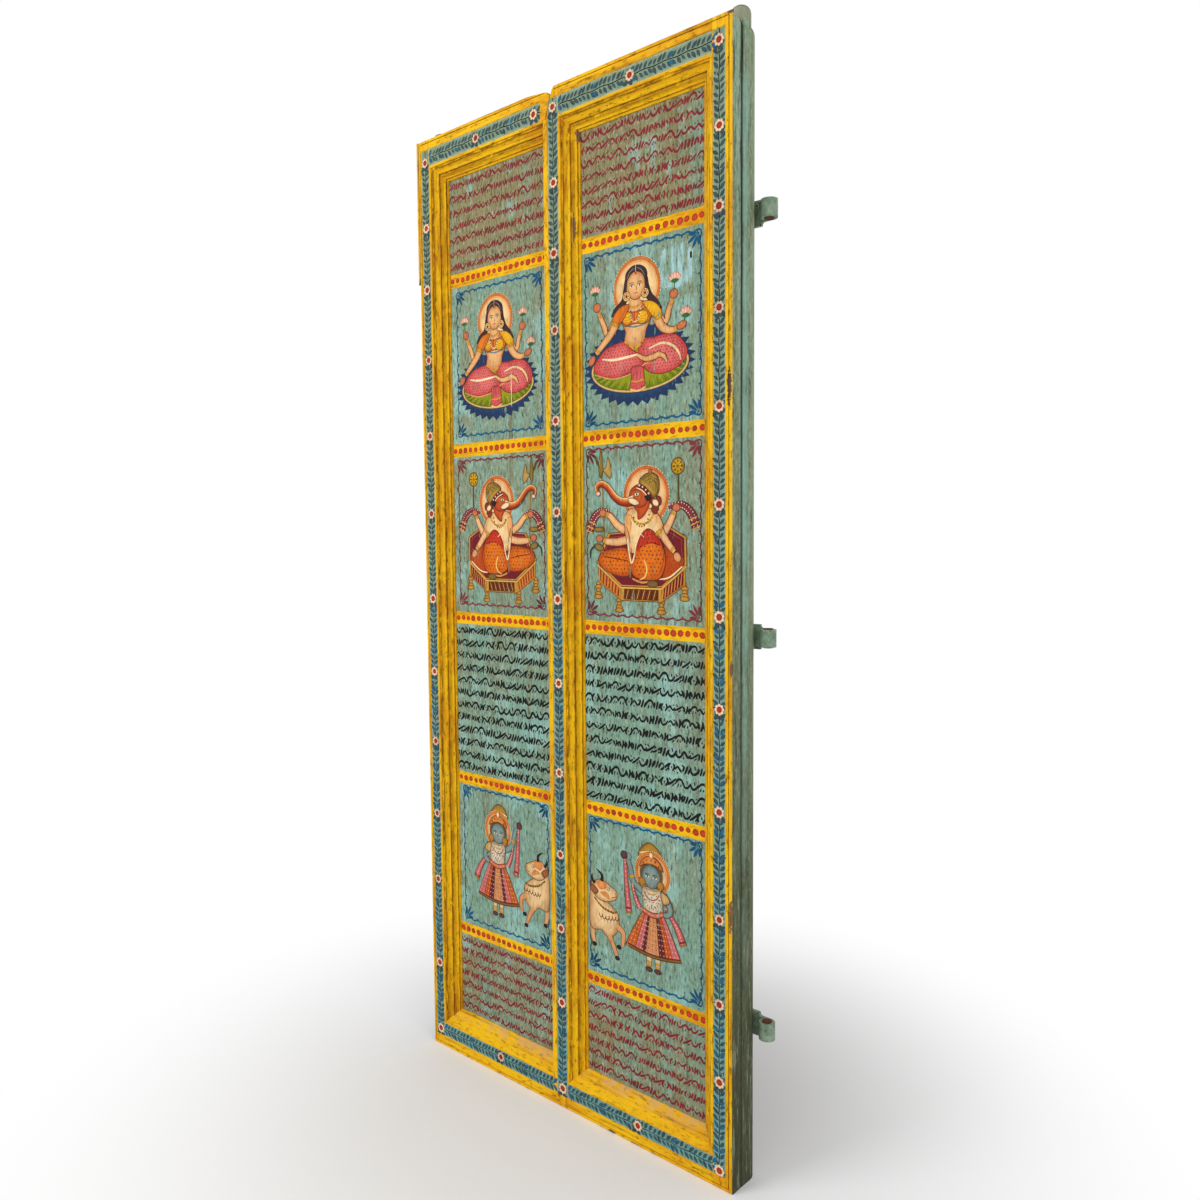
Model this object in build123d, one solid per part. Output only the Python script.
from build123d import *
import os

# A pair of old painted wooden door leaves that hang by iron eyes on vertical pins.
# Millimetres. X runs across the pair, Y from the painted face to the back, and Z is up.
# Depth means the distance behind the painted face.

# Overall sizes
leaf_height = 1830
pair_width = 750

# Layers
front_thickness = 25
board_thickness = 22
post_thickness = 50
batten_thickness = 25

# Front frame
hinge_border = 13
hinge_vine_band = 24
meeting_vine_band = 26
meeting_border = 10
top_border = 19
top_vine_band = 33
bottom_border = 22
bottom_vine_band = 28
end_border = 12
vine_sink = 1
moulding_width = 31
front_rounding = 3
bead_width = 6
bead_groove_width = 1.6
bead_groove_depth = 1.4

# Meeting edge of the two leaves
crack_x = -6
crack_width = 0.9
lip_reach = 17
top_crack_low_x = -17
top_crack_high_x = -1
worn_corner_length = 70
worn_corner_drop = 8
worn_corner_rounding = 10

# Back frame
post_width = 60
post_back_rounding = 22
post_top_rounding = 18
seam_easing = 3
meeting_batten_width = 45
meeting_batten_setback = 5
ledge_height = 80
ledge_middles = {"bottom": 330, "middle": 1010, "top": 1480}

# Joints in the wood
rail_tenon_length = 14
rail_tenon_thickness = 8
rail_tenon_shoulder = 12
tongue_length = 8
tongue_thickness = 10
ledge_tenon_length = 18
ledge_tenon_thickness = 12
ledge_tenon_shoulder = 15

# Worn pivot stub on top of each hinge post
stub_radius = 16
stub_height = 25
stub_dome = 12
stub_root = 30
stub_side_setback = 1
stub_depth = 46.5

# Iron eyes and their pins
eye_bore_radius = 8
strap_thickness = 5
eye_height = 28
eye_outboard = 22
eye_middles = {"bottom": 254, "middle": 890, "top": 1551}
eye_slit = 1.5
plate_height = 40
plate_side_overhang = 2
plate_root_rounding = 5
plate_length = 55
pin_clearance = 0.08
pin_stand_out = 1.5

# Nails
nail_radius = 2.5
nail_head_radius = 6
nail_head_height = 3
strap_nail_length = 30
strap_nail_spacing = 22
strap_nail_inset = 13
ledge_nail_length = 38
ledge_nail_end_inset = 30
ledge_nails_per_ledge = 3

# Damage
edge_strip_thickness = 4
edge_strip_end = 1555
edge_strip_break = 14
corner_chip_width = 9
corner_chip_height = 13
bottom_chip_x = 96
bottom_chip_width = 16
bottom_chip_height = 4
open_seam_width = 2.5
open_seam_length = 260
open_seam_reach = 20
nail_hole_x = 279
nail_hole_z = 1496
nail_hole_width = 4
nail_hole_height = 10
nail_hole_depth = 8

# Working allowances
overcut = 1
near = 0.5

half_width = pair_width / 2
half_crack = crack_width / 2
board_back = front_thickness + board_thickness
post_back = front_thickness + post_thickness
strap_back = post_back + strap_thickness
front_y = -(strap_back + nail_head_height) / 2
eye_outer_radius = eye_bore_radius + strap_thickness
eye_x = half_width + eye_outboard
eye_depth = strap_back - eye_outer_radius
lip_x = crack_x - lip_reach

hinge_stile_inner_x = half_width - hinge_border - hinge_vine_band
meeting_stile_inner_x = lip_x + half_crack + meeting_border + meeting_vine_band
bottom_rail_top = bottom_border + bottom_vine_band
top_rail_bottom = leaf_height - top_border - top_vine_band
board_outer_x = half_width - post_width

LEFT, RIGHT = -1, 1
FRONT = (0, front_thickness)
THROUGH = (-overcut, strap_back)


def spread(limits):
    """Middle and length of a pair of limits given in either order."""
    low, high = sorted(limits)
    return (low + high) / 2, high - low


def block(x_limits, depth_limits, z_limits):
    """Square-edged block between two x values, two depths and two heights."""
    (x, width), (depth, thick), (z, height) = (spread(v) for v in (x_limits, depth_limits, z_limits))
    return Pos(x, front_y + depth, z) * Box(width, thick, height)


def plate_from_outline(outline, depth_limits):
    """Plate of a closed outline of (x, z) points, between two depths."""
    depth, thick = spread(depth_limits)
    start = front_y + depth - thick / 2
    face = make_face(Polyline([(x, start, z) for x, z in outline], close=True))
    return extrude(face, amount=thick, dir=(0, 1, 0))


def upright_rod(x, depth, radius, z_limits):
    """Round rod that stands upright."""
    z, height = spread(z_limits)
    return Pos(x, front_y + depth, z) * Cylinder(radius, height)


def level_rod(x, z, radius, depth_limits):
    """Round rod that runs straight from front to back."""
    depth, length = spread(depth_limits)
    return Pos(x, front_y + depth, z) * Rot(X=90) * Cylinder(radius, length)


def group(solids):
    """Separate solids kept together in one node."""
    return Compound(children=[Solid(solid.wrapped) for part in solids for solid in part.solids()])


def outer_x(side):
    """Outer edge of a leaf. The left one is set back by the strip nailed along it."""
    return side * (half_width - (edge_strip_thickness if side == LEFT else 0))


def leaf_zone(side):
    """Space on one side of the stepped crack between the leaves, through every layer.

    The crack runs up the rails' ends at crack_x, steps left to the lip between the rails, and leans
    right again beside the top rail. Each leaf keeps half the crack's width from its middle line.
    """
    shift = side * half_crack
    low, high = bottom_rail_top - half_crack + shift, top_rail_bottom + half_crack - shift
    far_x = side * pair_width
    lean = (top_crack_high_x - top_crack_low_x) / (leaf_height - top_rail_bottom)
    edge = [
        (crack_x + shift, -overcut),
        (crack_x + shift, low),
        (lip_x + shift, low),
        (lip_x + shift, high),
        (top_crack_low_x + shift, high),
        (top_crack_high_x + shift + lean * overcut, leaf_height + overcut),
    ]
    return plate_from_outline(edge + [(far_x, leaf_height + overcut), (far_x, -overcut)], THROUGH)


def lies_on_outline(edge, side):
    """True for an edge of the painted face that is on the leaf's outer outline."""
    middle = edge.center()
    on_outline = (
        abs(middle.X - outer_x(side)) < near
        or abs(middle.Z) < near
        or abs(middle.Z - leaf_height) < near
    )
    return on_outline and abs(middle.Y - front_y) < near


def soften(part, side):
    """Rounds the front edges that lie on the leaf's outer outline."""
    return fillet(part.edges().filter_by(lambda edge: lies_on_outline(edge, side)), front_rounding)


def vine_field(side):
    """Shallow sunk band that the painted vine fills, between the border and the mouldings."""
    inner, outer = side * hinge_stile_inner_x, side * (half_width - hinge_border)
    low, high = bottom_border, leaf_height - top_border
    sunk = (-overcut, vine_sink)
    top_end = top_crack_low_x - end_border if side == LEFT else meeting_stile_inner_x
    bottom_end = crack_x if side == LEFT else meeting_stile_inner_x
    field = block((inner, outer), sunk, (low, high))
    field += block((top_end, inner), sunk, (top_rail_bottom, high))
    field += block((bottom_end, inner), sunk, (low, bottom_rail_top))
    if side == RIGHT:
        meeting_start = meeting_stile_inner_x - meeting_vine_band
        field += block((meeting_start, meeting_stile_inner_x), sunk, (low, high))
    return field


def bead_groove(side):
    """Narrow groove that sets the bead off along the outer edge, the top and the bottom."""
    outer = outer_x(side) - side * bead_width
    inner = outer - side * bead_groove_width
    low, high = bead_width, leaf_height - bead_width
    cut = (-overcut, bead_groove_depth)
    end = crack_x + side * meeting_border
    groove = block((inner, outer), cut, (low, high))
    groove += block((end, outer), cut, (low, low + bead_groove_width))
    groove += block((end, outer), cut, (high - bead_groove_width, high))
    return groove


def rail_tenon(x_shoulder, direction, rail_limits):
    """Tenon of a rail, from its shoulder into the stile beside it."""
    low, high = rail_limits
    depth_middle = front_thickness / 2
    cheeks = (depth_middle - rail_tenon_thickness / 2, depth_middle + rail_tenon_thickness / 2)
    end = x_shoulder + direction * rail_tenon_length
    return block((x_shoulder, end), cheeks, (low + rail_tenon_shoulder, high - rail_tenon_shoulder))


BOTTOM_RAIL = (0, bottom_rail_top)
TOP_RAIL = (top_rail_bottom, leaf_height)


def hinge_stile(side):
    """Front upright on the hinge side, with mortises for both rails."""
    inner = side * hinge_stile_inner_x
    stile = soften(block((inner, outer_x(side)), FRONT, (0, leaf_height)), side)
    for rail in (BOTTOM_RAIL, TOP_RAIL):
        stile -= rail_tenon(inner, side, rail)
    stile -= vine_field(side) + bead_groove(side)
    if side == RIGHT:
        stile -= corner_chip() + open_seam()
    return stile


def corner_chip():
    """Wood broken off the top of the right hinge stile, at its outer corner."""
    outline = [
        (half_width - corner_chip_width, leaf_height + overcut),
        (half_width - corner_chip_width, leaf_height),
        (half_width - corner_chip_width / 3, leaf_height - corner_chip_height / 2),
        (half_width, leaf_height - corner_chip_height),
        (half_width + overcut, leaf_height + overcut),
    ]
    return plate_from_outline(outline, (front_rounding, front_thickness + overcut))


def open_seam():
    """Wedge where the right hinge stile has come away from the post near the top."""
    x = half_width - open_seam_reach
    back, top = front_y + front_thickness, leaf_height
    outline = [(x, back, top), (x, back - open_seam_width, top), (x, back, top - open_seam_length)]
    return extrude(make_face(Polyline(outline, close=True)), amount=open_seam_reach, dir=(1, 0, 0))


def meeting_stile():
    """Right leaf's upright at the meeting edge. Its lip covers the joint between the rails."""
    stile = block((lip_x, meeting_stile_inner_x), FRONT, (0, leaf_height)) & leaf_zone(RIGHT)
    corner = stile.edges().filter_by(Axis.Y).group_by(Axis.Z)[-1].sort_by(Axis.X)[0]
    stile = soften(fillet(corner, worn_corner_rounding), RIGHT)
    for rail in (BOTTOM_RAIL, TOP_RAIL):
        stile -= rail_tenon(meeting_stile_inner_x, LEFT, rail)
    return stile - vine_field(RIGHT) - bead_groove(RIGHT)


def right_rail(rail):
    """Rail of the right leaf, tenoned into both its stiles."""
    ends = (meeting_stile_inner_x, hinge_stile_inner_x)
    body = soften(block(ends, FRONT, rail), RIGHT)
    body += rail_tenon(hinge_stile_inner_x, RIGHT, rail) + rail_tenon(meeting_stile_inner_x, LEFT, rail)
    body -= vine_field(RIGHT) + bead_groove(RIGHT)
    if rail == BOTTOM_RAIL:
        body -= bottom_chip()
    return body


def bottom_chip():
    """Splinter missing from the right leaf's bottom edge."""
    half = bottom_chip_width / 2
    outline = [
        (bottom_chip_x - half, -overcut),
        (bottom_chip_x - half, 0),
        (bottom_chip_x + half / 3, bottom_chip_height),
        (bottom_chip_x + half, 0),
        (bottom_chip_x + half, -overcut),
    ]
    return plate_from_outline(outline, (-overcut, front_thickness / 2))


def left_rail(rail):
    """Rail of the left leaf. Its free end stops at the crack, and the top one is worn down there."""
    inner = -hinge_stile_inner_x
    body = block((inner, top_crack_high_x), FRONT, rail) & leaf_zone(LEFT)
    if rail == TOP_RAIL:
        body = worn_end(body)
    body = soften(body, LEFT) + rail_tenon(inner, LEFT, rail)
    return body - vine_field(LEFT) - bead_groove(LEFT)


def worn_end(rail):
    """Slopes and rounds the left top rail towards its free end."""
    outline = [
        (top_crack_high_x - worn_corner_length, leaf_height),
        (top_crack_high_x, leaf_height - worn_corner_drop),
        (top_crack_high_x + overcut, leaf_height + overcut),
        (top_crack_high_x - worn_corner_length, leaf_height + overcut),
    ]
    rail -= plate_from_outline(outline, THROUGH)
    corner = rail.edges().filter_by(Axis.Y).sort_by(Axis.X)[-1]
    return fillet(corner, worn_corner_rounding)


# Moulding section as (share of its width from the outer edge, share of its depth) points
MOULDING_SECTION = [
    (0, 0),
    (0.15, 0),
    (0.15, 0.12),
    (0.25, 0.12),
    (0.33, 0.26),
    (0.44, 0.38),
    (0.56, 0.44),
    (0.56, 0.56),
    (0.68, 0.56),
    (0.76, 0.72),
    (0.86, 0.80),
    (0.86, 0.90),
    (1, 0.90),
    (1, 1),
    (0, 1),
]
# Plain sloped section of the bottom mouldings, in the same shares
SLOPE_SECTION = [(0, 0), (0.06, 0), (0.94, 0.84), (1, 0.90), (1, 1), (0, 1)]


def moulding(profile, outer_start, outer_end, inner_start, inner_end):
    """Length of moulding between four (x, z) corners of its outline, mitred as they say."""
    along = Vector(outer_end[0] - outer_start[0], 0, outer_end[1] - outer_start[1])
    inward = Vector(inner_start[0] - outer_start[0], 0, inner_start[1] - outer_start[1])
    unit = along.normalized()
    across = (inward - unit * inward.dot(unit)).normalized()
    start = Vector(outer_start[0], front_y, outer_start[1])
    section = [
        start + across * (moulding_width * width) + Vector(0, front_thickness * depth, 0)
        for width, depth in profile
    ]
    bar = extrude(make_face(Polyline(section, close=True)), amount=along.length, dir=unit)
    mitres = [outer_start, outer_end, inner_end, inner_start]
    return bar & plate_from_outline(mitres, (-overcut, front_thickness + overcut))


def opening_corners(side):
    """Outer corners of a leaf's mouldings, and the inner ones beside its panel."""
    hinge, low, high = side * hinge_stile_inner_x, bottom_rail_top, top_rail_bottom
    hinge_in = hinge - side * moulding_width
    meeting = meeting_stile_inner_x if side == RIGHT else lip_x - half_crack
    meeting_in = meeting + moulding_width if side == RIGHT else meeting
    outer = {"hinge": hinge, "meeting": meeting, "low": low, "high": high}
    low_in, high_in = low + moulding_width, high - moulding_width
    inner = {"hinge": hinge_in, "meeting": meeting_in, "low": low_in, "high": high_in}
    return outer, inner


def mouldings(side):
    """Mouldings round a leaf's panel. The left leaf has none at its meeting edge."""
    outer, inner = opening_corners(side)

    def run(start, end, profile=MOULDING_SECTION):
        corners = [(box[x], box[z]) for box in (outer, inner) for x, z in (start, end)]
        return moulding(profile, *corners)

    made = {
        "moulding_hinge_side": run(("hinge", "low"), ("hinge", "high")),
        "moulding_top": run(("meeting", "high"), ("hinge", "high")),
        "moulding_bottom": run(("meeting", "low"), ("hinge", "low"), SLOPE_SECTION),
    }
    if side == RIGHT:
        made["moulding_meeting_side"] = run(("meeting", "low"), ("meeting", "high"))
    return made


def board_tongue(side):
    """Tongue along the board's outer edge, in the post's groove."""
    start = side * board_outer_x
    middle = front_thickness + board_thickness / 2
    faces = (middle - tongue_thickness / 2, middle + tongue_thickness / 2)
    return block((start, start + side * tongue_length), faces, (0, leaf_height))


def panel_board(side):
    """Board that carries the painting, behind the front frame."""
    meeting_end = top_crack_high_x if side == LEFT else lip_x
    board = block((meeting_end, side * board_outer_x), (front_thickness, board_back), (0, leaf_height))
    board &= leaf_zone(side)
    board += board_tongue(side)
    if side == RIGHT:
        board -= nail_hole()
    return board


def nail_hole():
    """Torn hole of a lost nail in the right board's second picture."""
    x_limits = (nail_hole_x - nail_hole_width / 2, nail_hole_x + nail_hole_width / 2)
    z_limits = (nail_hole_z - nail_hole_height / 2, nail_hole_z + nail_hole_height / 2)
    return block(x_limits, (front_thickness - overcut, front_thickness + nail_hole_depth), z_limits)


def ledge_tenon(side, middle):
    """Tenon of a back ledge in the hinge post."""
    start = side * board_outer_x
    depth = board_back + batten_thickness / 2
    cheeks = (depth - ledge_tenon_thickness / 2, depth + ledge_tenon_thickness / 2)
    half = ledge_height / 2 - ledge_tenon_shoulder
    return block((start, start + side * ledge_tenon_length), cheeks, (middle - half, middle + half))


def meeting_batten_ends(side):
    """X limits of the batten along the back of a leaf's meeting edge."""
    edge = lip_x - half_crack if side == LEFT else meeting_batten_setback
    return edge, edge + side * meeting_batten_width


def ledge(side, middle):
    """Level batten across the back, from the meeting batten to the post."""
    start = meeting_batten_ends(side)[1]
    half = ledge_height / 2
    depths = (board_back, board_back + batten_thickness)
    bar = block((start, side * board_outer_x), depths, (middle - half, middle + half))
    return bar + ledge_tenon(side, middle)


def meeting_batten(side):
    """Upright batten along the back of the board's meeting edge."""
    depths = (board_back, board_back + batten_thickness)
    return block(meeting_batten_ends(side), depths, (0, leaf_height))


def stub_x(side):
    """Middle of the worn pivot stub."""
    return outer_x(side) - side * (stub_radius + stub_side_setback)


def pivot_stub(side):
    """Domed wooden stub on top of the post."""
    limits = (leaf_height - stub_root, leaf_height + stub_height)
    stub = upright_rod(stub_x(side), stub_depth, stub_radius, limits)
    rim = stub.edges().filter_by(GeomType.CIRCLE).sort_by(Axis.Z)[-1]
    return fillet(rim, stub_dome)


def hinge_post(side):
    """Thick upright that carries the board, the ledges and the iron eyes."""
    faces = (front_thickness, post_back)
    post = block((side * board_outer_x, outer_x(side)), faces, (0, leaf_height))
    uprights = post.edges().filter_by(Axis.Z).sort_by(lambda edge: side * edge.center().X)[-2:]
    post = chamfer(uprights.sort_by(Axis.Y)[0], seam_easing)
    back_corner = post.edges().filter_by(Axis.Z).sort_by(lambda e: side * e.center().X + e.center().Y)[-1]
    post = fillet(back_corner, post_back_rounding)
    top_edge = post.edges().group_by(Axis.Z)[-1].filter_by(lambda e: e.center().Y > front_y + stub_depth)
    post = fillet(top_edge.filter_by(lambda e: side * e.center().X > board_outer_x + near), post_top_rounding)
    post += pivot_stub(side)
    post -= board_tongue(side)
    for middle in ledge_middles.values():
        post -= ledge_tenon(side, middle)
    return post


def strap_eye(side, middle):
    """Iron strap on the post's back, rolled forward into an eye beside the leaf."""
    half = eye_height / 2
    x = side * eye_x
    plate_end = outer_x(side) + side * plate_side_overhang
    plate_limits = (middle - plate_height / 2, middle + plate_height / 2)
    plate = block((plate_end - side * plate_length, plate_end), (post_back, strap_back), plate_limits)
    strap = plate + block((plate_end, x), (post_back, strap_back), (middle - half, middle + half))

    def is_root(edge):
        at = edge.center()
        return abs(at.X - plate_end) < near and abs(abs(at.Z - middle) - half) < near

    strap = fillet(strap.edges().filter_by(Axis.Y).filter_by(is_root), plate_root_rounding)
    strap += upright_rod(x, eye_depth, eye_outer_radius, (middle - half, middle + half))
    bore_limits = (middle - half - overcut, middle + half + overcut)
    strap -= upright_rod(x, eye_depth, eye_bore_radius, bore_limits)
    slit_x = (x - side * (eye_outer_radius + overcut), x - side * eye_bore_radius / 2)
    return strap - block(slit_x, (post_back - eye_slit, post_back), bore_limits)


def strap_nail_places(side):
    """X and z of each nail through the straps."""
    x = outer_x(side) + side * (plate_side_overhang - plate_length + strap_nail_inset)
    half = strap_nail_spacing / 2
    return [(x, middle + offset) for middle in eye_middles.values() for offset in (-half, half)]


def ledge_nail_places(side):
    """X and z of each nail through the ledges."""
    start = meeting_batten_ends(side)[1] + side * ledge_nail_end_inset
    end = side * (board_outer_x - ledge_nail_end_inset)
    step = (end - start) / (ledge_nails_per_ledge - 1)
    return [(start + step * i, z) for z in ledge_middles.values() for i in range(ledge_nails_per_ledge)]


def nails(places, seat_depth, length):
    """Nails driven from behind, their domed heads on the seat."""
    made = []
    for x, z in places:
        head = level_rod(x, z, nail_head_radius, (seat_depth, seat_depth + nail_head_height))
        rim = head.edges().filter_by(GeomType.CIRCLE).sort_by(Axis.Y)[-1]
        head = fillet(rim, nail_head_height * 0.6)
        made.append(head + level_rod(x, z, nail_radius, (seat_depth - length, seat_depth)))
    return Part() + made


def edge_strip():
    """Thin strip nailed along the left leaf's outer edge, broken off below."""
    inner, outer = -half_width + edge_strip_thickness, -half_width
    outline = [
        (inner, leaf_height),
        (outer, leaf_height),
        (outer, edge_strip_end),
        (inner, edge_strip_end + edge_strip_break),
    ]
    return plate_from_outline(outline, FRONT)


def hinge_pins(side):
    """Pins that stand in the eyes, one for each eye."""
    radius = eye_bore_radius - pin_clearance
    half = eye_height / 2 + pin_stand_out
    middles = eye_middles.values()
    return group([upright_rod(side * eye_x, eye_depth, radius, (m - half, m + half)) for m in middles])


def leaf(side):
    """Every piece of one leaf, by name."""
    rail = right_rail if side == RIGHT else left_rail
    pieces = {
        "hinge_post": hinge_post(side),
        "panel_board": panel_board(side),
        "hinge_stile": hinge_stile(side),
        "top_rail": rail(TOP_RAIL),
        "bottom_rail": rail(BOTTOM_RAIL),
    }
    pieces |= mouldings(side)
    pieces["back_meeting_batten"] = meeting_batten(side)
    for name, middle in ledge_middles.items():
        pieces[f"back_ledge_{name}"] = ledge(side, middle)
    for name, middle in eye_middles.items():
        pieces[f"strap_eye_{name}"] = strap_eye(side, middle)
    strap_nails = nails(strap_nail_places(side), strap_back, strap_nail_length)
    ledge_nails = nails(ledge_nail_places(side), board_back + batten_thickness, ledge_nail_length)
    for name in pieces:
        if name in ("hinge_post", "panel_board") or name.startswith(("back_ledge", "strap_eye")):
            pieces[name] = pieces[name] - strap_nails - ledge_nails
    return pieces | {"strap_nails": group([strap_nails]), "ledge_nails": group([ledge_nails])}


door = {f"left_{name}": piece for name, piece in leaf(LEFT).items()}
door |= {f"right_{name}": piece for name, piece in leaf(RIGHT).items()}
door["right_meeting_stile"] = meeting_stile()
door["left_edge_strip"] = edge_strip()
door["hinge_pins_left"] = hinge_pins(LEFT)
door["hinge_pins_right"] = hinge_pins(RIGHT)

os.makedirs("parts", exist_ok=True)
for name, piece in door.items():
    export_step(piece, f"parts/{name}.step")
